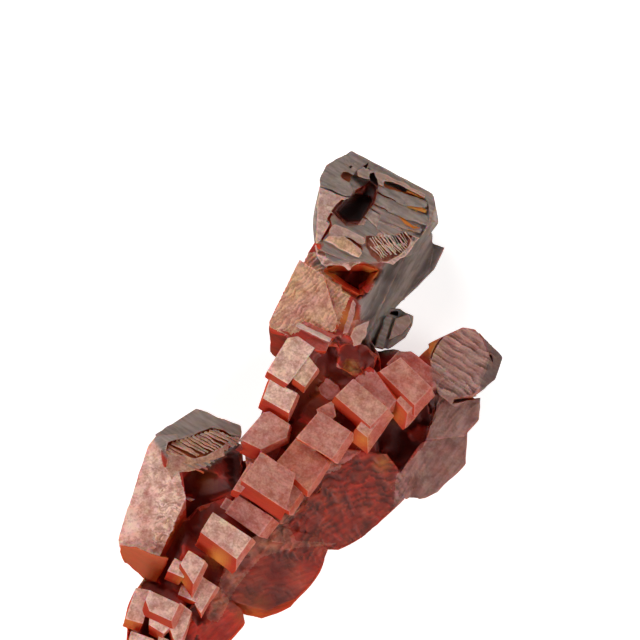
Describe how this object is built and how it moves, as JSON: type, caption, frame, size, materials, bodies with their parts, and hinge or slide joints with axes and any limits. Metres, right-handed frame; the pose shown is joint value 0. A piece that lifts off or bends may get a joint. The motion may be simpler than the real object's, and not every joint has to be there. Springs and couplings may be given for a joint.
{
  "type": "vanadinite crystal cluster",
  "caption": "Red-brown vanadinite crystals grown together, with stepped rows of small prisms and two large hollow-topped crystals, lying on a flat broken back.",
  "frame": {"origin": "middle of the cluster's box, on the table that its broken back rests on", "axes": "+Y runs from the broken foot towards the top of the tall crystal, +X to the right and +Z away from the table, towards the viewer"},
  "size_m": [0.0387, 0.0536, 0.0135],
  "materials": {
    "vanadinite": "translucent orange red to brown, resinous shine, greyer at the tips"
  },
  "bodies": {
    "root": {"vanadinite_crystals": "vanadinite"}
  },
  "joints": []
}
